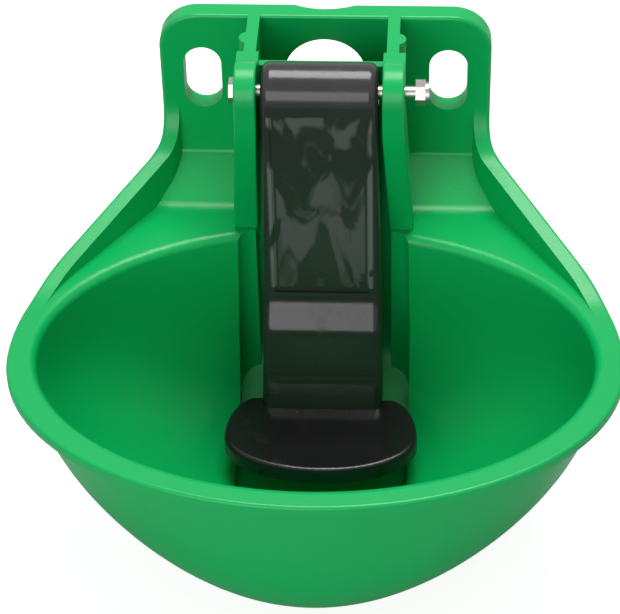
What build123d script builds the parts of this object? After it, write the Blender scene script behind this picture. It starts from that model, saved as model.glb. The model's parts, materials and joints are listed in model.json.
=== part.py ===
from build123d import *
import os
from math import atan2, tan

# A wall-mounted drinking bowl for livestock, in millimetres.
# Frame: X to the right, Y into the wall, Z up. The origin lies on the wall plane,
# midway between the two mounting slots.

# ---- driving dimensions: mounting plate ----
slot_spacing = 113.0
slot_width = 17.4
slot_length = 33.0
slot_collar = 4.0
plate_width = 152.0
plate_top = 34.0
plate_foot = -42.0
plate_depth = 9.5
plate_corner = 18.0
plate_skin = 4.0
pipe_hole = 37.4
pipe_hole_height = 3.0
post_diameter = 60.3
post_seat_depth = 3.3

# ---- driving dimensions: basin, lip and cheeks ----
wall = 4.0
lip_level = -58.0
lip_half_width = 134.5
lip_reach = 231.0
lip_widest = 138.0
lip_width = 12.5
basin_edge = 4.0
plate_edge = 1.5
lip_drop = 10.0
lip_wall = 3.5
basin_back = 49.0
cheek_wall = 7.5
cheek_corner = 104.0
cheek_start = 14.0
cheek_bend = 20.0
cheek_fill = 0.97
cheek_top_drop = 31.5
cheek_slope = 0.29
cheek_rise_radius = 24.0
deck_foot_radius = 10.0
shelf_radius = 3.0
shelf_reach = 32.6

# Basin sections: depth below the lip, then how far each is drawn in from the basin's edge at
# its sides, its front and its back.
basin_sections = [
    (0.0, 0.0, 0.0, 0.0),
    (30.0, 5.0, 1.5, 1.0),
    (55.0, 19.5, 4.0, 2.5),
    (75.0, 40.5, 10.5, 4.5),
    (92.0, 66.5, 29.0, 8.5),
    (104.0, 98.0, 52.5, 37.0),
]
channel_mouth = 9.0
channel_floor = 78.0
channel_half_width = 31.5
channel_run = 1.4
channel_sweep = 32.0

# ---- driving dimensions: side walls, ears and cross wall ----
pocket_half_width = 29.0
side_wall = 5.5
cross_wall_front = 40.0
pocket_corner = 6.0
ear_inner = 27.7
ear_outer = 37.4
ear_inner_foot = 30.5
ear_outer_foot = 42.0
ear_radius = 13.0
ear_foot = 46.0
ear_edge = 1.0
ear_bend_radius = 40.0
ear_overlap = 2.0
cross_wall_top = 28.0
ear_bend_height = 6.0
boss_radius = 4.6
boss_reach = 27.0

# ---- driving dimensions: pivot ----
pivot_reach = 54.0
pivot_height = 24.0
bolt_diameter = 6.0
bolt_length = 85.0
bolt_head_flats = 10.0
bolt_head_height = 2.6
nut_flats = 10.0
nut_height = 6.0
nut_body = 4.4
nut_stand_off = 4.7
bolt_hole_clearance = 0.2
bush_outer = 9.0
bush_length = 12.0
bush_clearance = 0.05

# ---- driving dimensions: paddle ----
paddle_width = 51.4
paddle_foot_width = 56.8
paddle_wall = 3.2
paddle_cap_radius = 13.0
paddle_flange = 14.0
paddle_edge = 4.0
paddle_clearance = 0.1
heel_width = 6.0
heel_height = 3.0
heel_depth = 5.0
heel_rise = 0.5
ramp_top = -84.0
ramp_reach = 9.0
ramp_drop = 13.0
shin_reach = 5.0
shin_flange = 7.0
ramp_radius = 12.0
tongue_top = -134.0
tongue_thickness = 8.0
tongue_half_width = 45.0
tongue_front = 130.0
tongue_widest = 106.0
tongue_back = 80.0
tongue_root = 12.0
tongue_root_half = 31.0
tongue_rim = 3.0
tongue_edge = 2.0
panel_half_width = 21.8
panel_depth = 0.8
panel_top = 22.0
panel_margin = 4.0
panel_corner = 3.0
hub_radius = 7.5
rib_thickness = 2.4
hub_rib_offset = 9.0
hub_rib_drop = 19.0
strap_ribs = (-50.0, -80.0, -110.0)
tongue_rib_spacing = 14.0

# ---- driving dimensions: valve ----
valve_height = -16.0
valve_reach = 22.75
inlet_diameter = 20.955
inlet_top = 9.0
inlet_thread = 10.5
inlet_bore = 15.0
body_diameter = 23.0
body_hex = 23.0
hex_height = 4.0
body_floor = -30.5
barrel_diameter = 20.0
barrel_front = 51.0
barrel_bore = 15.0
chamber_back = 15.0
valve_flange = 29.0
valve_flange_thickness = 2.6
gasket_thickness = 1.5
washer_diameter = 30.0
washer_thickness = 1.5
clamp_nut_flats = 27.0
clamp_nut_height = 5.0
barrel_clearance = 0.3
seat_reach = 33.0
seat_lip = 1.0
seat_lip_width = 1.2
seat_bore = 8.0
seat_collar = 18.4
seat_collar_thickness = 2.0
seat_o_ring_wire = 1.2
seat_o_ring_groove = 1.6
seat_o_ring_reach = 50.0
guide_reach = 45.0
guide_length = 6.0
guide_diameter = 9.0
guide_hub = 6.4
guide_notch = 3.2
circlip_thickness = 0.8
circlip_inner = 7.4
circlip_bite = 0.25
circlip_opening = 3.0
stem_diameter = 5.0
stem_clearance = 0.05
stem_head = 12.0
stem_head_thickness = 2.0
stem_spigot = 5.6
stem_spigot_length = 3.0
seal_thickness = 2.5
seal_diameter = 12.6
spring_diameter = 8.6
spring_wire = 0.9
spring_turns = 5
wire_sides = 8
throttle_diameter = 8.0
throttle_tip = -24.0
throttle_head = 12.0
throttle_head_height = 3.0
throttle_slot = 1.6
throttle_o_ring_wire = 1.4
throttle_groove = throttle_o_ring_wire * 4 / 3
throttle_o_ring_level = -28.0
strainer_wall = 0.8
strainer_cup = 14.6
strainer_depth = 11.0
strainer_rim = 17.0
strainer_rim_height = 1.1
strainer_slots = 10
strainer_hole = 1.6
strainer_hole_pitch = 1.28
strainer_hole_rows = 3
fit_gap = 0.05
small_edge = 1.0
nut_insert_radius = 4.1

# ---- derived places ----
basin_depth = basin_sections[-1][0]
cross_wall_back = cross_wall_front - wall
ear_back = cross_wall_back + ear_overlap
ear_front = pivot_reach + ear_radius
ear_hole_radius = bolt_diameter / 2 + bolt_hole_clearance
cheek_turn = atan2(lip_half_width - plate_width / 2, cheek_corner - cheek_start)
cheek_round = cheek_fill * (lip_widest - cheek_corner) / tan(cheek_turn / 2)
cheek_edge_reach = plate_depth + (-lip_level - cheek_top_drop) / cheek_slope
deck_bottom = lip_level - wall
basin_half = lip_half_width - lip_width + fit_gap
channel_bottom = lip_level - channel_floor
beyond = 1.0
reach_all = lip_reach + 10.0
full_width = 2 * (lip_half_width + beyond)
left_side = Plane.YZ.offset(-full_width / 2)
paddle_face = pivot_reach + paddle_cap_radius
paddle_back = paddle_face - paddle_flange
paddle_half = paddle_width / 2
shin_top = ramp_top - ramp_drop
tongue_bottom = tongue_top - tongue_thickness
nut_start = ear_outer + nut_stand_off
collar_height = nut_height - nut_body
bolt_radius = bolt_diameter / 2
flange_start = cross_wall_back - gasket_thickness - valve_flange_thickness
clamp_start = cross_wall_front + washer_thickness
seal_start = seat_reach - fit_gap - seal_thickness
head_start = seal_start - stem_head_thickness
stem_tip = paddle_face - paddle_wall - paddle_clearance
collar_end = barrel_front + seat_collar_thickness


def valve_plane(reach):
    """Sketch plane square to the valve's barrel, at a reach from the wall, facing the animal."""
    return Plane(origin=(0, -reach, valve_height), x_dir=(1, 0, 0), z_dir=(0, -1, 0))


def inlet_plane(level):
    """Sketch plane square to the inlet pipe thread, facing up."""
    return Plane(origin=(0, -valve_reach, level), x_dir=(1, 0, 0), z_dir=(0, 0, 1))


def pivot_plane(offset):
    """Sketch plane square to the cross bolt; its first axis is Y and its second is Z."""
    return Plane(origin=(offset, -pivot_reach, pivot_height), x_dir=(0, 1, 0), z_dir=(1, 0, 0))


def bowl_outline(inset):
    """Plan of the lip and cheeks: straight back, bent cheeks, elliptical front."""
    plate_side = plate_width / 2 - inset
    lip_side = lip_half_width - inset
    corner_shift = inset * tan(cheek_turn / 2)
    with BuildSketch(Plane.XY, mode=Mode.PRIVATE) as outline:
        with BuildLine():
            Line((-plate_side, 0), (plate_side, 0))
            cheek = FilletPolyline(
                (plate_side, 0),
                (plate_side, -cheek_start - corner_shift),
                (lip_side, -cheek_corner - corner_shift),
                (lip_side, -lip_widest),
                radius=[cheek_bend + inset, cheek_round - inset],
            )
            EllipticalCenterArc(
                (0, -lip_widest),
                lip_side,
                lip_reach - lip_widest - inset,
                start_angle=180,
                arc_size=180,
            )
            mirror(cheek, about=Plane.YZ)
        make_face()
    return outline.sketch


def basin_oval(section, growth):
    """One level section of the basin, grown outwards for the outside of its wall."""
    depth, side_draw, front_draw, back_draw = section
    half_width = lip_half_width - lip_width - side_draw
    front = lip_reach - lip_width - front_draw
    back = basin_back + back_draw
    level = lip_level - depth - growth * depth / basin_depth
    with BuildSketch(Plane.XY.offset(level), mode=Mode.PRIVATE) as oval:
        with Locations((0, -(front + back) / 2)):
            Ellipse(half_width + growth, (front - back) / 2 + growth)
    return oval.sketch


def channel_plan(growth):
    """Plan of the water channel behind the paddle, with a flared mouth."""
    half = channel_half_width + growth
    back = -(cross_wall_front - growth)
    mouth = -(basin_back - growth)
    with BuildSketch(Plane.XY.offset(lip_level), mode=Mode.PRIVATE) as plan:
        with BuildLine():
            rear = Line((-half, back), (half, back))
            side = Line(rear @ 1, (half, mouth))
            flare = RadiusArc(side @ 1, (half + channel_mouth, mouth - channel_mouth), channel_mouth)
            front = Line(flare @ 1, (half + channel_mouth, -lip_widest))
            Line(front @ 1, (0, -lip_widest))
            mirror(side, about=Plane.YZ)
            mirror(flare, about=Plane.YZ)
            mirror(front, about=Plane.YZ)
            Line((0, -lip_widest), (-half - channel_mouth, -lip_widest))
        make_face()
    return plan.sketch


def channel_side(growth):
    """Side view of the channel: down the cross wall, then swept out to the basin floor."""
    run = basin_depth - channel_floor
    with BuildSketch(left_side, mode=Mode.PRIVATE) as side:
        with BuildLine():
            sweep_line = FilletPolyline(
                (-cross_wall_front, lip_level + 2 * wall),
                (-cross_wall_front, channel_bottom),
                (-cross_wall_front - channel_run * run, channel_bottom - run + beyond),
                radius=channel_sweep,
            )
            Polyline(
                sweep_line @ 1,
                (-lip_widest, channel_bottom - run + beyond),
                (-lip_widest, lip_level + 2 * wall),
                sweep_line @ 0,
            )
        make_face()
        if growth:
            offset(amount=growth)
    return side.sketch


# ---- spaces cut out of the shell ----
with BuildPart() as above_cheeks:
    with BuildSketch(left_side):
        with BuildLine():
            edge = FilletPolyline(
                (-plate_depth, plate_top + beyond),
                (-plate_depth, -cheek_top_drop),
                (-cheek_edge_reach, lip_level),
                (-reach_all, lip_level),
                radius=[cheek_rise_radius, 2 * cheek_rise_radius],
            )
            Polyline(edge @ 1, (-reach_all, plate_top + beyond), edge @ 0)
        make_face()
    extrude(amount=full_width, dir=(1, 0, 0))

with BuildPart() as inside_cheeks:
    with BuildSketch(Plane.XY.offset(lip_level)):
        add(bowl_outline(cheek_wall))
    extrude(amount=plate_top - lip_level + beyond)
    with BuildSketch(left_side):
        with BuildLine():
            floor = FilletPolyline(
                (-plate_depth, plate_top + beyond),
                (-plate_depth, plate_foot),
                (-shelf_reach, lip_level),
                (-reach_all, lip_level),
                radius=[shelf_radius, deck_foot_radius],
            )
            Polyline(floor @ 1, (-reach_all, plate_top + beyond), floor @ 0)
        make_face()
    extrude(amount=full_width, dir=(1, 0, 0), mode=Mode.INTERSECT)

with BuildPart() as basin_space:
    for basin_section in basin_sections:
        add(basin_oval(basin_section, 0))
    loft()
with BuildPart() as channel_space:
    add(channel_plan(0))
    extrude(amount=-basin_depth)
    add(channel_side(0))
    extrude(amount=full_width, dir=(1, 0, 0), mode=Mode.INTERSECT)
with BuildPart() as basin_body:
    for basin_section in basin_sections:
        add(basin_oval(basin_section, wall))
    loft()
with BuildPart() as channel_body:
    add(channel_plan(wall))
    extrude(amount=-basin_depth)
    add(channel_side(wall))
    extrude(amount=full_width, dir=(1, 0, 0), mode=Mode.INTERSECT)

# ---- bowl shell: plate, cheeks, deck and lip ----
def at_basin_edge(edge):
    """True for an edge that lies level with the lip and no wider than the basin's mouth."""
    box = edge.bounding_box()
    level = abs(box.max.Z - lip_level) < fit_gap and abs(box.min.Z - lip_level) < fit_gap
    return level and box.max.X < basin_half and box.min.X > -basin_half


with BuildPart() as shell_form:
    with BuildSketch(Plane.XY.offset(deck_bottom)):
        add(bowl_outline(0))
    extrude(amount=plate_top - deck_bottom)
    add(above_cheeks.part, mode=Mode.SUBTRACT)
    plate_corners = shell_form.edges().filter_by(Axis.Y).group_by(Axis.Z)[-1]
    fillet(plate_corners, radius=plate_corner)
    add(inside_cheeks.part, mode=Mode.SUBTRACT)
    # the lip turns down all round
    with BuildSketch(Plane.XY.offset(lip_level)):
        add(bowl_outline(0))
        add(bowl_outline(lip_wall), mode=Mode.SUBTRACT)
    extrude(amount=-lip_drop)
    # basin wall and channel wall
    add(basin_body.part)
    add(channel_body.part)
    add(basin_space.part, mode=Mode.SUBTRACT)
    add(channel_space.part, mode=Mode.SUBTRACT)
    # the plate's front edge is rounded
    plate_edges = shell_form.edges().filter_by(
        lambda edge: edge.center().Z > 0 and abs(edge.center().Y + plate_depth) < fit_gap
    )
    fillet(plate_edges, radius=plate_edge)
    # the basin's edge is rounded, front and back
    mouth_edges = shell_form.edges().filter_by(GeomType.BSPLINE).filter_by(at_basin_edge)
    fillet(mouth_edges, radius=basin_edge)

# ---- bowl shell: side walls, ears, cross wall and pocket ----
with BuildPart() as ear:
    # rounded about the cross bolt, leaning back to the basin's rear edge, and thicker at its foot
    with BuildSketch(Plane.YZ):
        with BuildLine():
            ear_line = FilletPolyline(
                (-pivot_reach, plate_top),
                (-ear_front, pivot_height),
                (-ear_front, ear_bend_height),
                (-ear_foot, deck_bottom),
                (-ear_back, deck_bottom),
                radius=[0, ear_bend_radius, 0],
            )
            Polyline(ear_line @ 1, (-ear_back, plate_top), ear_line @ 0)
        make_face()
        with Locations((-pivot_reach, pivot_height)):
            Circle(ear_radius)
    extrude(amount=ear_outer_foot + beyond)
    with BuildSketch(Plane.XZ):
        with BuildLine():
            Polyline(
                (ear_inner, pivot_height + ear_radius + beyond),
                (ear_outer, pivot_height + ear_radius + beyond),
                (ear_outer, pivot_height - ear_radius),
                (ear_outer_foot, deck_bottom),
                (ear_inner_foot, deck_bottom),
                (ear_inner, pivot_height - ear_radius),
                close=True,
            )
        make_face()
    extrude(amount=ear_front + beyond, dir=(0, -1, 0), mode=Mode.INTERSECT)
    front_edges = ear.edges().filter_by(lambda edge: edge.center().Y < -ear_foot)
    fillet(front_edges.filter_by(Axis.X, reverse=True), radius=ear_edge)
    # hole for the cross bolt
    with BuildSketch(pivot_plane(ear_inner - beyond)):
        Circle(ear_hole_radius)
    extrude(amount=ear_outer - ear_inner + 2 * beyond, mode=Mode.SUBTRACT)

with BuildPart() as centre_box:
    # thin side walls from the wall plane to the ears, one extruded and one mirrored
    with BuildSketch(Plane.YZ.offset(pocket_half_width)):
        with BuildLine():
            Polyline(
                (0, deck_bottom),
                (0, plate_top),
                (-ear_back, plate_top),
                (-ear_back, deck_bottom),
                close=True,
            )
        make_face()
    extrude(amount=side_wall)
    # round boss on the outer face of each side wall
    with BuildSketch(Plane.XY.offset(deck_bottom)):
        with Locations((ear_outer - boss_radius, -boss_reach)):
            Circle(boss_radius)
    extrude(amount=plate_top - deck_bottom)
    add(ear.part)
    mirror(about=Plane.YZ)
    # cross wall between the side walls
    with BuildSketch(Plane.XY.offset(deck_bottom)):
        with Locations((0, -(cross_wall_front + cross_wall_back) / 2)):
            Rectangle(2 * (pocket_half_width + beyond), wall)
    extrude(amount=cross_wall_top - deck_bottom)

with BuildPart() as valve_pocket:
    pocket_length = cross_wall_back - plate_depth
    with BuildSketch(Plane.XY.offset(deck_bottom - beyond)):
        with Locations((0, -(plate_depth + cross_wall_back) / 2)):
            RectangleRounded(2 * pocket_half_width, pocket_length, pocket_corner)
    extrude(amount=plate_top - deck_bottom + 2 * beyond)

with BuildPart() as back_hollow:
    # under the sloping shelf, open towards the wall
    with BuildSketch(Plane.YZ.offset(-plate_width / 2 + cheek_wall)):
        with BuildLine():
            Polyline(
                (beyond, plate_foot + wall),
                (-plate_depth + plate_skin, plate_foot + wall),
                (-plate_depth + plate_skin, plate_foot - plate_skin / 2),
                (-shelf_reach + plate_skin, deck_bottom - beyond),
                (beyond, deck_bottom - beyond),
                close=True,
            )
        make_face()
    extrude(amount=plate_width - 2 * cheek_wall)

with BuildPart() as plate_cores:
    # the plate is cored from behind, round the slots and the pipe hole
    with BuildSketch(Plane.XZ.offset(-beyond)):
        with Locations((0, (plate_top + plate_foot) / 2)):
            RectangleRounded(
                plate_width - 2 * wall, plate_top - plate_foot - 2 * wall, plate_corner - wall
            )
        with Locations((-slot_spacing / 2, 0), (slot_spacing / 2, 0)):
            SlotOverall(
                slot_length + 2 * slot_collar,
                slot_width + 2 * slot_collar,
                rotation=90,
                mode=Mode.SUBTRACT,
            )
        with Locations((0, pipe_hole_height)):
            Circle(pipe_hole / 2 + wall, mode=Mode.SUBTRACT)
        with Locations((0, plate_top)):
            Rectangle(2 * pocket_half_width, plate_top, mode=Mode.SUBTRACT)
    extrude(amount=plate_depth - plate_skin + beyond)

with BuildPart() as shell_holes:
    with BuildSketch(Plane.XZ.offset(-beyond)):
        with Locations((-slot_spacing / 2, 0), (slot_spacing / 2, 0)):
            SlotOverall(slot_length, slot_width, rotation=90)
        with Locations((0, pipe_hole_height)):
            Circle(pipe_hole / 2)
    extrude(amount=plate_depth + 2 * beyond)
    # seat for a round post down the back of the plate
    with BuildSketch(Plane.XY.offset(deck_bottom - lip_drop)):
        with Locations((0, post_diameter / 2 - post_seat_depth)):
            Circle(post_diameter / 2)
    extrude(amount=plate_top - deck_bottom + lip_drop + beyond)
    # hole for the valve's barrel
    with BuildSketch(valve_plane(cross_wall_back - beyond)):
        Circle(barrel_diameter / 2 + barrel_clearance)
    extrude(amount=wall + 2 * beyond)

with BuildPart() as bowl_shell:
    add(shell_form.part)
    add(plate_cores.part, mode=Mode.SUBTRACT)
    add(back_hollow.part, mode=Mode.SUBTRACT)
    add(centre_box.part)
    add(valve_pocket.part, mode=Mode.SUBTRACT)
    add(shell_holes.part, mode=Mode.SUBTRACT)

bowl_shell.part.label = "bowl_shell"

# ---- cross bolt and its lock nut ----
with BuildPart() as pivot_bolt:
    with BuildSketch(pivot_plane(-ear_outer - bolt_head_height)):
        RegularPolygon(bolt_head_flats / 2, 6, major_radius=False)
    extrude(amount=bolt_head_height)
    with BuildSketch(pivot_plane(-ear_outer)):
        Circle(bolt_radius)
    extrude(amount=bolt_length)
    chamfer(pivot_bolt.edges().filter_by(GeomType.CIRCLE).sort_by(Axis.X)[-1], length=small_edge)
pivot_bolt.part.label = "pivot_bolt"

with BuildPart() as lock_nut:
    with BuildSketch(pivot_plane(nut_start)):
        RegularPolygon(nut_flats / 2, 6, major_radius=False)
    extrude(amount=nut_body)
    with BuildSketch(pivot_plane(nut_start + nut_body)):
        Circle(nut_flats / 2)
    extrude(amount=collar_height)
    with BuildSketch(pivot_plane(nut_start)):
        Circle(bolt_radius + fit_gap)
    extrude(amount=nut_height, mode=Mode.SUBTRACT)
    with BuildSketch(pivot_plane(nut_start + nut_body)):
        Circle(nut_insert_radius)
    extrude(amount=collar_height, mode=Mode.SUBTRACT)
lock_nut.part.label = "lock_nut"

with BuildPart() as lock_nut_insert:
    with BuildSketch(pivot_plane(nut_start + nut_body)):
        Circle(nut_insert_radius - fit_gap)
        Circle(bolt_radius + fit_gap, mode=Mode.SUBTRACT)
    extrude(amount=collar_height)
lock_nut_insert.part.label = "lock_nut_insert"

with BuildPart() as paddle_bushes:
    with BuildSketch(pivot_plane(paddle_half - bush_length)):
        Circle(bush_outer / 2)
        Circle(bolt_radius + bush_clearance, mode=Mode.SUBTRACT)
    extrude(amount=bush_length)
    mirror(about=Plane.YZ)
paddle_bushes.part.label = "paddle_bushes"


# ---- paddle ----
def strap_side(inset):
    """Side view of the paddle: round cap over the pivot, strap, ramp and shin."""
    deep = paddle_back - 2 * paddle_wall
    shin_foot = paddle_face + ramp_reach + shin_reach
    with BuildSketch(Plane.YZ.offset(-paddle_foot_width / 2), mode=Mode.PRIVATE) as side:
        with BuildLine():
            face_line = FilletPolyline(
                (-paddle_face, pivot_height),
                (-paddle_face, ramp_top),
                (-paddle_face - ramp_reach, shin_top),
                (-shin_foot, tongue_top + tongue_root),
                (-shin_foot - tongue_root, tongue_bottom),
                radius=ramp_radius,
            )
            Polyline(
                face_line @ 1,
                (-deep - ramp_reach - shin_reach, tongue_bottom),
                (-deep - ramp_reach, shin_top),
                (-deep, ramp_top),
                (-deep, pivot_height),
                face_line @ 0,
            )
        make_face()
        with Locations((-pivot_reach, pivot_height)):
            Circle(paddle_cap_radius)
        if inset:
            offset(amount=-inset)
    return side.sketch


def strap_front(inset):
    """Front view of the strap, wider at its foot than at its top."""
    top = pivot_height + paddle_cap_radius + beyond
    foot = tongue_bottom - beyond
    half_top = paddle_half - inset
    half_foot = paddle_foot_width / 2 - inset
    with BuildSketch(Plane.XZ, mode=Mode.PRIVATE) as front:
        with BuildLine():
            Polyline(
                (-half_top, top),
                (half_top, top),
                (half_foot, foot),
                (-half_foot, foot),
                close=True,
            )
        make_face()
    return front.sketch


def tongue_plan(inset):
    """Plan of the tongue: half ellipse in front, rounded shoulders, straight root."""
    root = tongue_root_half - inset
    with BuildSketch(Plane.XY.offset(tongue_bottom), mode=Mode.PRIVATE) as plan:
        with BuildLine():
            Line((-root, -tongue_back - inset), (root, -tongue_back - inset))
            shoulder = EllipticalCenterArc(
                (root, -tongue_widest),
                tongue_half_width - tongue_root_half,
                tongue_widest - tongue_back - inset,
                start_angle=0,
                arc_size=90,
            )
            EllipticalCenterArc(
                (0, -tongue_widest),
                tongue_half_width - inset,
                tongue_front - tongue_widest - inset,
                start_angle=180,
                arc_size=180,
            )
            mirror(shoulder, about=Plane.YZ)
        make_face()
    return plan.sketch


with BuildPart() as behind_paddle:
    # everything behind the flanges' rear edges, but not the cap
    with BuildSketch(Plane.YZ.offset(-paddle_foot_width / 2 - beyond)):
        with BuildLine():
            Polyline(
                (-paddle_back, pivot_height),
                (-paddle_back, ramp_top),
                (-paddle_back - ramp_reach, shin_top),
                (-paddle_face - shin_flange, tongue_bottom - beyond),
                (0, tongue_bottom - beyond),
                (0, pivot_height),
                close=True,
            )
        make_face()
        with Locations((-pivot_reach, pivot_height)):
            Circle(paddle_cap_radius, mode=Mode.SUBTRACT)
    extrude(amount=paddle_foot_width + 2 * beyond, dir=(1, 0, 0))

with BuildPart() as paddle_hollow:
    add(strap_side(paddle_wall))
    extrude(amount=paddle_foot_width, dir=(1, 0, 0))
    add(strap_front(paddle_wall))
    extrude(amount=lip_reach, dir=(0, -1, 0), mode=Mode.INTERSECT)
    # open below, under the tongue's top
    with Locations((0, -tongue_back, tongue_bottom)):
        Box(paddle_width - 2 * paddle_wall, 2 * tongue_root - paddle_wall, 2 * tongue_thickness)

with BuildPart() as paddle_ribs:
    # cross ribs down the strap, and two upright ribs under the hub
    with Locations([(0, -paddle_face, level) for level in strap_ribs]):
        Box(paddle_foot_width, 2 * paddle_face, rib_thickness)
    with Locations(*[(side * hub_rib_offset, -pivot_reach, pivot_height) for side in (-1, 1)]):
        Box(rib_thickness, 2 * paddle_cap_radius, 2 * hub_rib_drop)
    add(strap_side(paddle_wall / 2))
    extrude(amount=paddle_foot_width, dir=(1, 0, 0), mode=Mode.INTERSECT)
    add(strap_front(paddle_wall / 2))
    extrude(amount=lip_reach, dir=(0, -1, 0), mode=Mode.INTERSECT)

with BuildPart() as paddle_tongue:
    add(tongue_plan(0))
    extrude(amount=tongue_thickness)
    fillet(paddle_tongue.edges().group_by(Axis.Z)[-1], radius=tongue_edge)
    add(tongue_plan(tongue_rim))
    extrude(amount=tongue_thickness - tongue_rim, mode=Mode.SUBTRACT)
    with Locations(
        *[
            (side * tongue_rib_spacing, -tongue_widest, tongue_bottom + tongue_thickness / 2)
            for side in (-1, 0, 1)
        ]
    ):
        Box(
            rib_thickness,
            2 * (tongue_front - tongue_widest - tongue_rim),
            tongue_thickness - tongue_rim,
        )

with BuildPart() as paddle:
    add(strap_side(0))
    extrude(amount=paddle_foot_width, dir=(1, 0, 0))
    add(strap_front(0))
    extrude(amount=lip_reach, dir=(0, -1, 0), mode=Mode.INTERSECT)
    strap_sides = paddle.faces().filter_by(lambda face: abs(face.normal_at().X) > 0.9)
    fillet(strap_sides.edges(), radius=paddle_edge)
    add(paddle_hollow.part, mode=Mode.SUBTRACT)
    add(paddle_ribs.part)
    add(behind_paddle.part, mode=Mode.SUBTRACT)
    add(paddle_tongue.part)
    # hub for the bushes
    with BuildSketch(pivot_plane(-paddle_half)):
        Circle(hub_radius)
    extrude(amount=paddle_width)
    with BuildSketch(pivot_plane(-paddle_half - beyond)):
        Circle(bush_outer / 2 + fit_gap)
    extrude(amount=paddle_width + 2 * beyond, mode=Mode.SUBTRACT)
    # flat seats for the bushes' flanges
    for side in (-1, 1):
        with BuildSketch(pivot_plane(side * (paddle_half + beyond))):
            Circle(hub_radius)
        extrude(amount=-side * beyond, mode=Mode.SUBTRACT)
    # heels that rest on the cross wall
    with BuildSketch(Plane.YZ.offset(paddle_half - paddle_edge - heel_width)):
        with Locations(
            (
                -cross_wall_front - paddle_clearance - heel_depth / 2,
                pivot_height + heel_rise + heel_height / 2,
            )
        ):
            Rectangle(heel_depth, heel_height)
    extrude(amount=heel_width)
    mirror(about=Plane.YZ)
    # shallow panel on the face
    with BuildSketch(Plane.XZ.offset(paddle_face)):
        with Locations((0, (panel_top + ramp_top) / 2)):
            RectangleRounded(2 * panel_half_width, panel_top - ramp_top - panel_margin, panel_corner)
    extrude(amount=-panel_depth, mode=Mode.SUBTRACT)
paddle.part.label = "paddle"

# ---- valve: body, seal and clamp ----
with BuildPart() as valve_body:
    with BuildSketch(inlet_plane(body_floor)):
        Circle(body_diameter / 2)
    extrude(amount=inlet_top - inlet_thread - body_floor)
    with BuildSketch(inlet_plane(inlet_top - inlet_thread - hex_height)):
        RegularPolygon(body_hex / 2, 6, major_radius=False)
    extrude(amount=hex_height)
    with BuildSketch(inlet_plane(inlet_top - inlet_thread)):
        Circle(inlet_diameter / 2)
    extrude(amount=inlet_thread)
    chamfer(valve_body.edges().group_by(Axis.Z)[-1], length=small_edge)
    with BuildSketch(valve_plane(valve_reach)):
        Circle(barrel_diameter / 2)
    extrude(amount=barrel_front - valve_reach)
    with BuildSketch(valve_plane(flange_start)):
        Circle(valve_flange / 2)
    extrude(amount=valve_flange_thickness)
    # water way: down the inlet, out along the barrel
    with BuildSketch(inlet_plane(valve_height)):
        Circle(inlet_bore / 2)
    extrude(amount=inlet_top - valve_height, mode=Mode.SUBTRACT)
    with BuildSketch(inlet_plane(inlet_top - strainer_rim_height - 2 * fit_gap)):
        Circle(strainer_rim / 2 + 2 * fit_gap)
    extrude(amount=strainer_rim_height + 2 * fit_gap, mode=Mode.SUBTRACT)
    with BuildSketch(valve_plane(chamber_back)):
        Circle(barrel_bore / 2)
    extrude(amount=barrel_front - chamber_back, mode=Mode.SUBTRACT)
    with BuildSketch(inlet_plane(body_floor)):
        Circle(throttle_diameter / 2)
    extrude(amount=valve_height - body_floor, mode=Mode.SUBTRACT)
valve_body.part.label = "valve_body"

with BuildPart() as barrel_gasket:
    with BuildSketch(valve_plane(cross_wall_back - gasket_thickness)):
        Circle(valve_flange / 2)
        Circle(barrel_diameter / 2 + fit_gap, mode=Mode.SUBTRACT)
    extrude(amount=gasket_thickness)
barrel_gasket.part.label = "barrel_gasket"

with BuildPart() as clamp_washer:
    with BuildSketch(valve_plane(cross_wall_front)):
        Circle(washer_diameter / 2)
        Circle(barrel_diameter / 2 + barrel_clearance, mode=Mode.SUBTRACT)
    extrude(amount=washer_thickness)
clamp_washer.part.label = "clamp_washer"

with BuildPart() as clamp_nut:
    with BuildSketch(valve_plane(clamp_start)):
        RegularPolygon(clamp_nut_flats / 2, 6, major_radius=False)
        Circle(barrel_diameter / 2 + fit_gap, mode=Mode.SUBTRACT)
    extrude(amount=clamp_nut_height)
clamp_nut.part.label = "clamp_nut"

with BuildPart() as seat_bush:
    with BuildSketch(valve_plane(seat_reach + seat_lip)):
        Circle(barrel_bore / 2 - fit_gap)
    extrude(amount=barrel_front - seat_reach - seat_lip)
    with BuildSketch(valve_plane(barrel_front)):
        Circle(seat_collar / 2)
    extrude(amount=seat_collar_thickness)
    # raised lip that the rubber disc closes on
    with BuildSketch(valve_plane(seat_reach)):
        Circle(seat_bore / 2 + seat_lip_width)
    extrude(amount=seat_lip)
    with BuildSketch(valve_plane(seat_reach)):
        Circle(seat_bore / 2)
    extrude(amount=collar_end - seat_reach, mode=Mode.SUBTRACT)
    with BuildSketch(valve_plane(guide_reach)):
        Circle(guide_diameter / 2)
    extrude(amount=collar_end - guide_reach, mode=Mode.SUBTRACT)
    # groove for the O-ring under the collar
    with BuildSketch(valve_plane(seat_o_ring_reach - seat_o_ring_groove / 2)):
        Circle(barrel_bore / 2)
        Circle(barrel_bore / 2 - seat_o_ring_wire - fit_gap, mode=Mode.SUBTRACT)
    extrude(amount=seat_o_ring_groove, mode=Mode.SUBTRACT)
    # groove for the spring ring that holds the guide
    with BuildSketch(valve_plane(guide_reach + guide_length)):
        Circle(guide_diameter / 2 + circlip_bite)
    extrude(amount=circlip_thickness + 2 * fit_gap, mode=Mode.SUBTRACT)
seat_bush.part.label = "seat_bush"

with BuildPart() as seat_o_ring:
    with Locations(valve_plane(seat_o_ring_reach)):
        Torus(barrel_bore / 2 - seat_o_ring_wire / 2 - fit_gap / 2, seat_o_ring_wire / 2 - fit_gap / 2)
seat_o_ring.part.label = "seat_o_ring"

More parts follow.
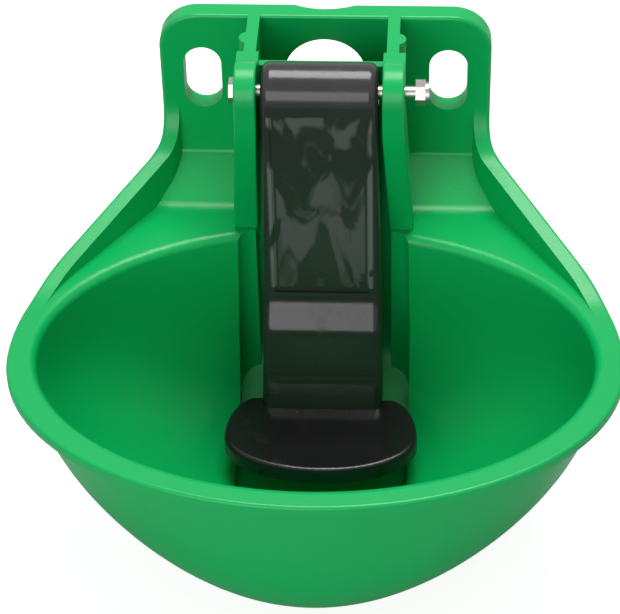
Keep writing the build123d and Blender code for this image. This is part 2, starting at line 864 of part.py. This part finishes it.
with BuildPart() as stem_guide:
    with BuildSketch(valve_plane(guide_reach)):
        Circle(guide_diameter / 2 - fit_gap)
        with PolarLocations((guide_hub + guide_diameter) / 2, 3):
            Rectangle(guide_diameter, guide_notch, mode=Mode.SUBTRACT)
        Circle(guide_hub / 2)
        Circle(stem_diameter / 2 + stem_clearance, mode=Mode.SUBTRACT)
    extrude(amount=guide_length)
stem_guide.part.label = "stem_guide"

with BuildPart() as guide_circlip:
    with BuildSketch(valve_plane(guide_reach + guide_length + fit_gap)):
        Circle(guide_diameter / 2 + circlip_bite - fit_gap)
        Circle(circlip_inner / 2, mode=Mode.SUBTRACT)
        with Locations((0, guide_diameter / 2)):
            Rectangle(circlip_opening, guide_diameter / 2, mode=Mode.SUBTRACT)
    extrude(amount=circlip_thickness)
guide_circlip.part.label = "guide_circlip"

# ---- valve: stem, its disc and spring ----
with BuildPart() as valve_stem:
    with BuildSketch(valve_plane(head_start)):
        Circle(stem_head / 2)
    extrude(amount=stem_head_thickness)
    with BuildSketch(valve_plane(head_start)):
        Circle(stem_diameter / 2)
    extrude(amount=stem_tip - head_start)
    chamfer(valve_stem.edges().group_by(Axis.Y)[0], length=small_edge)
    with BuildSketch(valve_plane(head_start - stem_spigot_length)):
        Circle(stem_spigot / 2)
    extrude(amount=stem_spigot_length)
valve_stem.part.label = "valve_stem"

with BuildPart() as seal_disc:
    with BuildSketch(valve_plane(seal_start)):
        Circle(seal_diameter / 2)
        Circle(stem_diameter / 2, mode=Mode.SUBTRACT)
    extrude(amount=seal_thickness)
seal_disc.part.label = "seal_disc"

with BuildPart() as stem_spring:
    spring_start = chamber_back + spring_wire / 2
    spring_end = head_start - spring_wire / 2
    coil_radius = (spring_diameter - spring_wire) / 2
    with BuildLine():
        coil = Helix(
            pitch=(spring_end - spring_start) / spring_turns,
            height=spring_end - spring_start,
            radius=coil_radius,
            center=(0, -spring_start, valve_height),
            direction=(0, -1, 0),
        )
    with BuildSketch(Plane(origin=coil @ 0, z_dir=coil % 0)):
        RegularPolygon(spring_wire / 2, wire_sides)
    sweep(path=coil, is_frenet=True)
stem_spring.part.label = "stem_spring"

# ---- valve: flow screw and strainer ----
with BuildPart() as throttle_screw:
    with BuildSketch(inlet_plane(body_floor)):
        Circle(throttle_diameter / 2 - fit_gap)
    extrude(amount=throttle_tip - body_floor)
    with BuildSketch(inlet_plane(body_floor - throttle_head_height)):
        Circle(throttle_head / 2)
    extrude(amount=throttle_head_height)
    with BuildSketch(inlet_plane(body_floor - throttle_head_height)):
        Rectangle(throttle_head, throttle_slot)
    extrude(amount=throttle_slot, mode=Mode.SUBTRACT)
    with BuildSketch(inlet_plane(throttle_o_ring_level - throttle_groove / 2)):
        Circle(throttle_diameter / 2)
        Circle(throttle_diameter / 2 - throttle_o_ring_wire - fit_gap, mode=Mode.SUBTRACT)
    extrude(amount=throttle_groove, mode=Mode.SUBTRACT)
throttle_screw.part.label = "throttle_screw"

with BuildPart() as throttle_o_ring:
    with Locations(inlet_plane(throttle_o_ring_level)):
        Torus(
            throttle_diameter / 2 - throttle_o_ring_wire / 2 - fit_gap / 2,
            throttle_o_ring_wire / 2 - fit_gap / 2,
        )
throttle_o_ring.part.label = "throttle_o_ring"

with BuildPart() as inlet_strainer:
    strainer_floor = inlet_top - strainer_depth
    with BuildSketch(inlet_plane(strainer_floor)):
        Circle(strainer_cup / 2)
    extrude(amount=strainer_depth - fit_gap)
    with BuildSketch(inlet_plane(inlet_top - strainer_rim_height - fit_gap)):
        Circle(strainer_rim / 2)
    extrude(amount=strainer_rim_height)
    with BuildSketch(inlet_plane(strainer_floor + strainer_wall)):
        Circle(strainer_cup / 2 - strainer_wall)
    extrude(amount=strainer_depth, mode=Mode.SUBTRACT)
    # upright slots round the cup
    with BuildSketch(inlet_plane(strainer_floor + 2 * strainer_wall)):
        with PolarLocations(strainer_cup / 2, strainer_slots):
            Rectangle(4 * strainer_wall, strainer_hole)
    extrude(amount=strainer_depth - 4 * strainer_wall - strainer_rim_height, mode=Mode.SUBTRACT)
    # round holes in its floor
    with BuildSketch(inlet_plane(strainer_floor)):
        with HexLocations(2 * strainer_hole_pitch, strainer_hole_rows, strainer_hole_rows):
            Circle(strainer_hole / 2)
    extrude(amount=strainer_wall, mode=Mode.SUBTRACT)
inlet_strainer.part.label = "inlet_strainer"

# ---- export ----
pieces = [
    bowl_shell,
    paddle,
    pivot_bolt,
    lock_nut,
    lock_nut_insert,
    paddle_bushes,
    valve_body,
    barrel_gasket,
    clamp_nut,
    clamp_washer,
    inlet_strainer,
    seat_bush,
    seat_o_ring,
    stem_guide,
    guide_circlip,
    valve_stem,
    seal_disc,
    stem_spring,
    throttle_screw,
    throttle_o_ring,
]
os.makedirs("parts", exist_ok=True)
for piece in pieces:
    export_step(piece.part, f"parts/{piece.part.label}.step")
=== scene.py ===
import json
from math import radians

import bpy
from mathutils import Matrix, Vector


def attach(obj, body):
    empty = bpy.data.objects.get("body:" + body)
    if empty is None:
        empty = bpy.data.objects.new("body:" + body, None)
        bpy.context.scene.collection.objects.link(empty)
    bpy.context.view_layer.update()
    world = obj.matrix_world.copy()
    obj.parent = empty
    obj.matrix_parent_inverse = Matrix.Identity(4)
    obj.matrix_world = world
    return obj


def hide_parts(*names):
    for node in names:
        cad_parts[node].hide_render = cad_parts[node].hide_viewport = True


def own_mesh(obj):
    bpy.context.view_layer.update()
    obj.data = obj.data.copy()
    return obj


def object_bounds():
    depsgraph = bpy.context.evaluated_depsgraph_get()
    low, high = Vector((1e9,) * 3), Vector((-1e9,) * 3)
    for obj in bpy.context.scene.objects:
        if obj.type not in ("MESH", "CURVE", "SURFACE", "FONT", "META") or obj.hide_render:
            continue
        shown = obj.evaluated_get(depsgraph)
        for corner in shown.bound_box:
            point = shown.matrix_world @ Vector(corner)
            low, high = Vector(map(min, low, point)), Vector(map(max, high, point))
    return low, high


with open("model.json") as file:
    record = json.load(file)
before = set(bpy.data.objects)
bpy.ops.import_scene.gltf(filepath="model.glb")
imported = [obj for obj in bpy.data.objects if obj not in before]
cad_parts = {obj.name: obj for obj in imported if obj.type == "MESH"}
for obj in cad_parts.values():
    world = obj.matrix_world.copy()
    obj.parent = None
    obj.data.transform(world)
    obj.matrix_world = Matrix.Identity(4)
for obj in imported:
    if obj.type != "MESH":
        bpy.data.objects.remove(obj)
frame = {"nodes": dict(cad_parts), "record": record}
cad_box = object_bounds()
nodes = frame["nodes"]


# ---- small helpers for building materials ----
def new_material(name):
    """An empty material with a Principled shader wired to its output."""
    made = bpy.data.materials.new(name)
    made.use_nodes = True
    tree = made.node_tree
    tree.nodes.clear()
    out = tree.nodes.new("ShaderNodeOutputMaterial")
    shader = tree.nodes.new("ShaderNodeBsdfPrincipled")
    tree.links.new(shader.outputs["BSDF"], out.inputs["Surface"])
    return made, tree, shader


def stretched(tree, place, scale, offset=(0.0, 0.0, 0.0)):
    """The object's coordinates, scaled along each axis and shifted."""
    mapping = tree.nodes.new("ShaderNodeMapping")
    mapping.inputs["Location"].default_value = offset
    mapping.inputs["Scale"].default_value = scale
    tree.links.new(place.outputs["Object"], mapping.inputs["Vector"])
    return mapping.outputs["Vector"]


def noise(tree, vector, detail):
    """A noise texture read at the given coordinates."""
    texture = tree.nodes.new("ShaderNodeTexNoise")
    texture.inputs["Detail"].default_value = detail
    tree.links.new(vector, texture.inputs["Vector"])
    return texture


def remapped(tree, source, start=(0.0, 1.0), end=(0.0, 1.0), curve="LINEAR"):
    """The source with its range start carried onto the range end."""
    step = tree.nodes.new("ShaderNodeMapRange")
    step.interpolation_type = curve
    for socket, value in zip(("From Min", "From Max", "To Min", "To Max"), (*start, *end)):
        step.inputs[socket].default_value = value
    tree.links.new(source, step.inputs["Value"])
    return step.outputs["Result"]


def relief(tree, shader, height, strength, depth):
    """Gives the shader's surface a fine relief."""
    bump = tree.nodes.new("ShaderNodeBump")
    bump.inputs["Strength"].default_value = strength
    bump.inputs["Distance"].default_value = depth
    tree.links.new(height, bump.inputs["Height"])
    tree.links.new(bump.outputs["Normal"], shader.inputs["Normal"])


# ---- moulded plastic ----
CLOUD_DETAIL = 3.0
PEEL_DETAIL = 2.0
PEEL_DEPTH = 0.0002
RUB_DETAIL = 5.0
RUB_ROUGHNESS = 0.65
RUB_STRETCH = (1.0, 1.0, 0.12)
RUB_RANGE = (0.55, 0.75)


def skin_group():
    """Moulding marks as two masks and a height: slow cloudiness, thin rubbed streaks, fine peel."""
    group = bpy.data.node_groups.new("moulded_skin", "ShaderNodeTree")
    for name in ("Cloud scale", "Peel scale", "Rub scale"):
        group.interface.new_socket(name, in_out="INPUT", socket_type="NodeSocketFloat")
    for name in ("Cloud", "Rub", "Height"):
        group.interface.new_socket(name, in_out="OUTPUT", socket_type="NodeSocketFloat")
    inside = group.nodes.new("NodeGroupInput")
    outside = group.nodes.new("NodeGroupOutput")
    place = group.nodes.new("ShaderNodeTexCoord")
    cloud = noise(group, place.outputs["Object"], CLOUD_DETAIL)
    peel = noise(group, place.outputs["Object"], PEEL_DETAIL)
    rub = noise(group, stretched(group, place, RUB_STRETCH), RUB_DETAIL)
    rub.inputs["Roughness"].default_value = RUB_ROUGHNESS
    for name, texture in (("Cloud", cloud), ("Peel", peel), ("Rub", rub)):
        group.links.new(inside.outputs[f"{name} scale"], texture.inputs["Scale"])
    group.links.new(cloud.outputs["Fac"], outside.inputs["Cloud"])
    group.links.new(remapped(group, rub.outputs["Fac"], RUB_RANGE), outside.inputs["Rub"])
    group.links.new(peel.outputs["Fac"], outside.inputs["Height"])
    return group


moulded_skin = skin_group()


def moulded_plastic(name, colour, cloudy, rough, rubbed_rough, gloss, peel, scales):
    """Moulded plastic whose colour drifts slowly. Rubbed streaks are duller."""
    made, tree, shader = new_material(name)
    shader.inputs["Specular IOR Level"].default_value = gloss
    skin = tree.nodes.new("ShaderNodeGroup")
    skin.node_tree = moulded_skin
    for socket, value in scales.items():
        skin.inputs[socket].default_value = value
    drift = tree.nodes.new("ShaderNodeMix")
    drift.data_type = "RGBA"
    drift.inputs["A"].default_value = (*colour, 1.0)
    drift.inputs["B"].default_value = (*cloudy, 1.0)
    tree.links.new(skin.outputs["Cloud"], drift.inputs["Factor"])
    tree.links.new(drift.outputs["Result"], shader.inputs["Base Color"])
    dull = remapped(tree, skin.outputs["Rub"], end=(rough, rubbed_rough))
    tree.links.new(dull, shader.inputs["Roughness"])
    relief(tree, shader, skin.outputs["Height"], peel, PEEL_DEPTH)
    return made


# ---- painted reflections on the paddle's panel and painted shade at its foot ----
PANEL_HALF = 0.0205
PANEL_HEAD = 0.019
PANEL_FOOT = -0.078
PANEL_FADE = 0.0012
BORDER_START = 2 * PANEL_FADE
BORDER_END = 3 * PANEL_FADE
# painted shade: below this height the paddle's foot, down in the basin, is darker
SHADE_LINE = -0.118
SHADE_FADE = 10 * PANEL_FADE
FRONT_FACING = (-0.9, -0.98)
# the blotch pattern of the painted reflections on the panel
SHEEN_OFFSET = (0.035, 0.0, 0.012)
SHEEN_STRETCH = (1.0, 1.0, 0.55)
SHEEN_DETAIL = 2.5
SHEEN_SHAPE = {"Scale": 62.0, "Roughness": 0.45, "Distortion": 1.1}
# painted reflection: lighter grey blotches on the panel, where the surface is also duller
SHEEN_RANGE = (0.46, 0.58)
SHEEN_COLOUR = (0.075, 0.075, 0.077)
SHEEN_ROUGHNESS = 0.5
# painted shade: the colour of the paddle's darkened foot
FOOT_SHADE_COLOUR = (0.008, 0.008, 0.0082)
# painted reflection: a lighter grey band round the panel's edge
EDGE_SHEEN_RANGE = (0.4, 0.5)
EDGE_SHEEN_COLOUR = (0.13, 0.13, 0.135)


def panel_sheen_and_foot_shade(made):
    """Paints grey reflections on the strap's panel, a lighter painted reflection in a band round it
    and painted shade on the foot, down in the basin.
    """
    tree = made.node_tree
    add, link = tree.nodes.new, tree.links.new
    shader = next(node for node in tree.nodes if node.type == "BSDF_PRINCIPLED")
    place = add("ShaderNodeTexCoord")
    parts = add("ShaderNodeSeparateXYZ")
    link(place.outputs["Object"], parts.inputs["Vector"])
    facing = add("ShaderNodeSeparateXYZ")
    link(place.outputs["Normal"], facing.inputs["Vector"])

    def ramp(source, low, high):
        """A mask that rises smoothly from nought at low to one at high."""
        return remapped(tree, source, (low, high), curve="SMOOTHSTEP")

    def product(first, second):
        """The two masks multiplied."""
        times = add("ShaderNodeMath")
        times.operation = "MULTIPLY"
        link(first, times.inputs[0])
        link(second, times.inputs[1])
        return times.outputs["Value"]

    def tint(mask, under, over):
        """Mixes the colour over, where the mask is one, into the colour that comes in."""
        mix = add("ShaderNodeMix")
        mix.data_type = "RGBA"
        mix.inputs["B"].default_value = (*over, 1.0)
        link(mask, mix.inputs["Factor"])
        link(under, mix.inputs["A"])
        return mix.outputs["Result"]

    # where the panel is, and its border
    from_middle = add("ShaderNodeMath")
    from_middle.operation = "ABSOLUTE"
    link(parts.outputs["X"], from_middle.inputs[0])
    across = from_middle.outputs["Value"]
    within = ramp(across, PANEL_HALF, PANEL_HALF - PANEL_FADE)
    above_bend = ramp(parts.outputs["Z"], PANEL_FOOT, PANEL_FOOT + PANEL_FADE)
    below_cap = ramp(parts.outputs["Z"], PANEL_HEAD, PANEL_HEAD - PANEL_FADE)
    front = ramp(facing.outputs["Y"], *FRONT_FACING)
    panel = product(product(within, above_bend), product(below_cap, front))
    near_border = product(
        ramp(across, PANEL_HALF, PANEL_HALF + PANEL_FADE),
        ramp(across, PANEL_HALF + BORDER_END, PANEL_HALF + BORDER_START),
    )
    border = product(product(near_border, front), product(above_bend, below_cap))

    # the blotch pattern of the painted reflections
    sheen_pattern = noise(tree, stretched(tree, place, SHEEN_STRETCH, SHEEN_OFFSET), SHEEN_DETAIL)
    for socket, value in SHEEN_SHAPE.items():
        sheen_pattern.inputs[socket].default_value = value
    # painted reflection: lighter grey blotches on the panel
    sheen = product(panel, ramp(sheen_pattern.outputs["Fac"], *SHEEN_RANGE))
    # painted reflection: lighter grey blotches in a band round the panel
    edge_sheen = product(border, ramp(sheen_pattern.outputs["Fac"], *EDGE_SHEEN_RANGE))
    # painted shade: the paddle's foot, down in the basin, darker
    foot_shade = ramp(parts.outputs["Z"], SHADE_LINE, SHADE_LINE - SHADE_FADE)

    # paints the shade at the foot, the grey reflections on the panel and the lighter reflection
    # round it into the base colour
    base = shader.inputs["Base Color"].links[0].from_socket
    for mask, colour in ((foot_shade, FOOT_SHADE_COLOUR), (sheen, SHEEN_COLOUR), (edge_sheen, EDGE_SHEEN_COLOUR)):
        base = tint(mask, base, colour)
    link(base, shader.inputs["Base Color"])
    # where the painted reflection lies, the surface is duller too
    duller = add("ShaderNodeMix")
    duller.inputs["B"].default_value = SHEEN_ROUGHNESS
    link(sheen, duller.inputs["Factor"])
    link(shader.inputs["Roughness"].links[0].from_socket, duller.inputs["A"])
    link(duller.outputs["Result"], shader.inputs["Roughness"])


# ---- metals ----
STREAK_DETAIL = 4.0
STREAK_STRENGTH = 0.15
STREAK_DEPTH = 0.00005
SMOOTH_STREAK = 0.7
DULL_STREAK = 1.4


def turned_metal(name, colour, rough, streak_scale):
    """Bright metal with fine turning or drawing streaks."""
    made, tree, shader = new_material(name)
    shader.inputs["Base Color"].default_value = (*colour, 1.0)
    shader.inputs["Metallic"].default_value = 1.0
    place = tree.nodes.new("ShaderNodeTexCoord")
    streak = noise(tree, stretched(tree, place, streak_scale), STREAK_DETAIL)
    streak.inputs["Scale"].default_value = 1.0
    spread = (rough * SMOOTH_STREAK, rough * DULL_STREAK)
    dull = remapped(tree, streak.outputs["Fac"], end=spread)
    tree.links.new(dull, shader.inputs["Roughness"])
    relief(tree, shader, streak.outputs["Fac"], STREAK_STRENGTH, STREAK_DEPTH)
    return made


# ---- finishes ----
FINE_SCALES = {"Cloud scale": 60.0, "Peel scale": 1500.0, "Rub scale": 120.0}
green_plastic = moulded_plastic(
    "green_plastic",
    colour=(0.001, 0.355, 0.083),
    cloudy=(0.002, 0.385, 0.096),
    rough=0.3,
    rubbed_rough=0.38,
    gloss=0.27,
    peel=0.25,
    scales={"Cloud scale": 14.0, "Peel scale": 700.0, "Rub scale": 45.0},
)
black_plastic = moulded_plastic(
    "black_plastic",
    colour=(0.02, 0.02, 0.0202),
    cloudy=(0.034, 0.034, 0.034),
    rough=0.2,
    rubbed_rough=0.36,
    gloss=0.36,
    peel=0.2,
    scales={"Cloud scale": 25.0, "Peel scale": 500.0, "Rub scale": 70.0},
)
# painted reflections on the paddle's panel and painted shade at its foot
panel_sheen_and_foot_shade(black_plastic)
black_rubber = moulded_plastic(
    "black_rubber",
    colour=(0.012, 0.012, 0.012),
    cloudy=(0.02, 0.02, 0.02),
    rough=0.6,
    rubbed_rough=0.75,
    gloss=0.4,
    peel=0.4,
    scales=FINE_SCALES,
)
white_plastic = moulded_plastic(
    "white_plastic",
    colour=(0.72, 0.71, 0.67),
    cloudy=(0.66, 0.65, 0.6),
    rough=0.4,
    rubbed_rough=0.5,
    gloss=0.5,
    peel=0.2,
    scales=FINE_SCALES,
)
steel = turned_metal("steel", (0.4, 0.39, 0.37), 0.3, (300.0, 1500.0, 1500.0))
brass = turned_metal("brass", (0.78, 0.56, 0.26), 0.28, (900.0, 900.0, 2500.0))

finish_of = {
    "green_plastic": green_plastic,
    "black_plastic": black_plastic,
    "black_rubber": black_rubber,
    "white_plastic": white_plastic,
    "steel": steel,
    "brass": brass,
}
for subpart in frame["record"]["subparts"]:
    piece = nodes[subpart["node"]]
    finish = finish_of[subpart["material_slot"]]
    for slot in piece.material_slots:
        slot.material = finish
    if not piece.material_slots:
        piece.data.materials.append(finish)


# ---- pieces that stand for a solid ----
def stand_in(name, node):
    """A piece with the solid's own mesh that rides with the bowl and takes the solid's place."""
    piece = bpy.data.objects.new(name, nodes[node].data.copy())
    bpy.context.scene.collection.objects.link(piece)
    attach(piece, "bowl")
    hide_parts(node)
    return piece


# the shell, whose lip turns down less than the solid's
SOLID_UNDERSIDE = -0.068
THIN_UNDERSIDE = -0.0625
LIP_BACK = -0.04
LEVEL_GAP = 0.00002
for vertex in stand_in("shell_moulding", "bowl_shell").data.vertices:
    if abs(vertex.co.z - SOLID_UNDERSIDE) < LEVEL_GAP and vertex.co.y < LIP_BACK:
        vertex.co.z = THIN_UNDERSIDE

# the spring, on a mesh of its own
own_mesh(stand_in("return_spring", "stem_spring"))

# ---- floor ----
FLOOR_GAP = 0.0005
FLOOR_HALF = 6.0
FLOOR_GREY = 0.5
FLOOR_ROUGHNESS = 0.9
FLOOR_GLOW = 0.8
floor_level = cad_box[0][2] - FLOOR_GAP
floor_mesh = bpy.data.meshes.new("floor")
floor_mesh.from_pydata(
    [
        (x * FLOOR_HALF, y * FLOOR_HALF, floor_level)
        for x, y in ((-1, -1), (1, -1), (1, 1), (-1, 1))
    ],
    [],
    [(0, 1, 2, 3)],
)
floor = bpy.data.objects.new("floor", floor_mesh)
bpy.context.scene.collection.objects.link(floor)
floor_white, floor_tree, floor_shader = new_material("floor_white")
floor_shader.inputs["Base Color"].default_value = (FLOOR_GREY, FLOOR_GREY, FLOOR_GREY, 1.0)
floor_shader.inputs["Roughness"].default_value = FLOOR_ROUGHNESS
floor_shader.inputs["Specular IOR Level"].default_value = 0.0
floor_shader.inputs["Emission Color"].default_value = (1.0, 1.0, 1.0, 1.0)
# it glows for the camera alone, so it lights nothing
floor_rays = floor_tree.nodes.new("ShaderNodeLightPath")
glow = remapped(floor_tree, floor_rays.outputs["Is Camera Ray"], end=(0.0, FLOOR_GLOW))
floor_tree.links.new(glow, floor_shader.inputs["Emission Strength"])
floor_mesh.materials.append(floor_white)

# ---- world ----
WORLD_LIGHT = 0.45
WORLD_SEEN = 1.0
world = bpy.data.worlds.new("studio")
bpy.context.scene.world = world
world.use_nodes = True
world_tree = world.node_tree
world_tree.nodes.clear()
world_out = world_tree.nodes.new("ShaderNodeOutputWorld")
world_light = world_tree.nodes.new("ShaderNodeBackground")
world_rays = world_tree.nodes.new("ShaderNodeLightPath")
# the camera and reflections see it brighter than it lights
world_seen = world_tree.nodes.new("ShaderNodeMath")
world_seen.operation = "MAXIMUM"
world_tree.links.new(world_rays.outputs["Is Camera Ray"], world_seen.inputs[0])
world_tree.links.new(world_rays.outputs["Is Glossy Ray"], world_seen.inputs[1])
world_level = remapped(world_tree, world_seen.outputs["Value"], end=(WORLD_LIGHT, WORLD_SEEN))
world_tree.links.new(world_level, world_light.inputs["Strength"])
world_tree.links.new(world_light.outputs["Background"], world_out.inputs["Surface"])

# ---- lamps ----
STUDIO_MIDDLE = Vector((0.0, -0.1, -0.06))


def facing_from(position, target):
    """The turn that points a lamp or camera at position towards target."""
    return (target - Vector(position)).to_track_quat("-Z", "Y")


def soft_box(name, position, size, power):
    """A square area lamp that faces the middle of the bowl."""
    lamp = bpy.data.lights.new(name, "AREA")
    lamp.shape = "SQUARE"
    lamp.size = size
    lamp.energy = power
    holder = bpy.data.objects.new(name, lamp)
    bpy.context.scene.collection.objects.link(holder)
    holder.location = position
    holder.rotation_euler = facing_from(position, STUDIO_MIDDLE).to_euler()


soft_box("overhead", (0.1, 0.3, 1.6), 0.9, 30.0)
soft_box("front_fill", (-0.5, -1.9, 0.5), 1.3, 19.0)

# ---- camera ----
PICTURE_WIDTH = 620
SENSOR_WIDTH = 36.0
FOCAL_PIXELS = 2396.5
CENTRE_SHIFT = 10.0
CAMERA_PLACE = Vector((0.0522, -0.9207, 0.6291))
CAMERA_TARGET = Vector((-0.0096, -0.0803, -0.0780))
CAMERA_ROLL = radians(-1.7)
camera_data = bpy.data.cameras.new("camera")
camera_data.sensor_width = SENSOR_WIDTH
camera_data.sensor_fit = "HORIZONTAL"
camera_data.lens = SENSOR_WIDTH * FOCAL_PIXELS / PICTURE_WIDTH
camera_data.shift_x = CENTRE_SHIFT / PICTURE_WIDTH
camera = bpy.data.objects.new("camera", camera_data)
bpy.context.scene.collection.objects.link(camera)
camera.matrix_world = (
    Matrix.Translation(CAMERA_PLACE)
    @ facing_from(CAMERA_PLACE, CAMERA_TARGET).to_matrix().to_4x4()
    @ Matrix.Rotation(CAMERA_ROLL, 4, "Z")
)
bpy.context.scene.camera = camera
bpy.context.scene.view_settings.view_transform = "Standard"
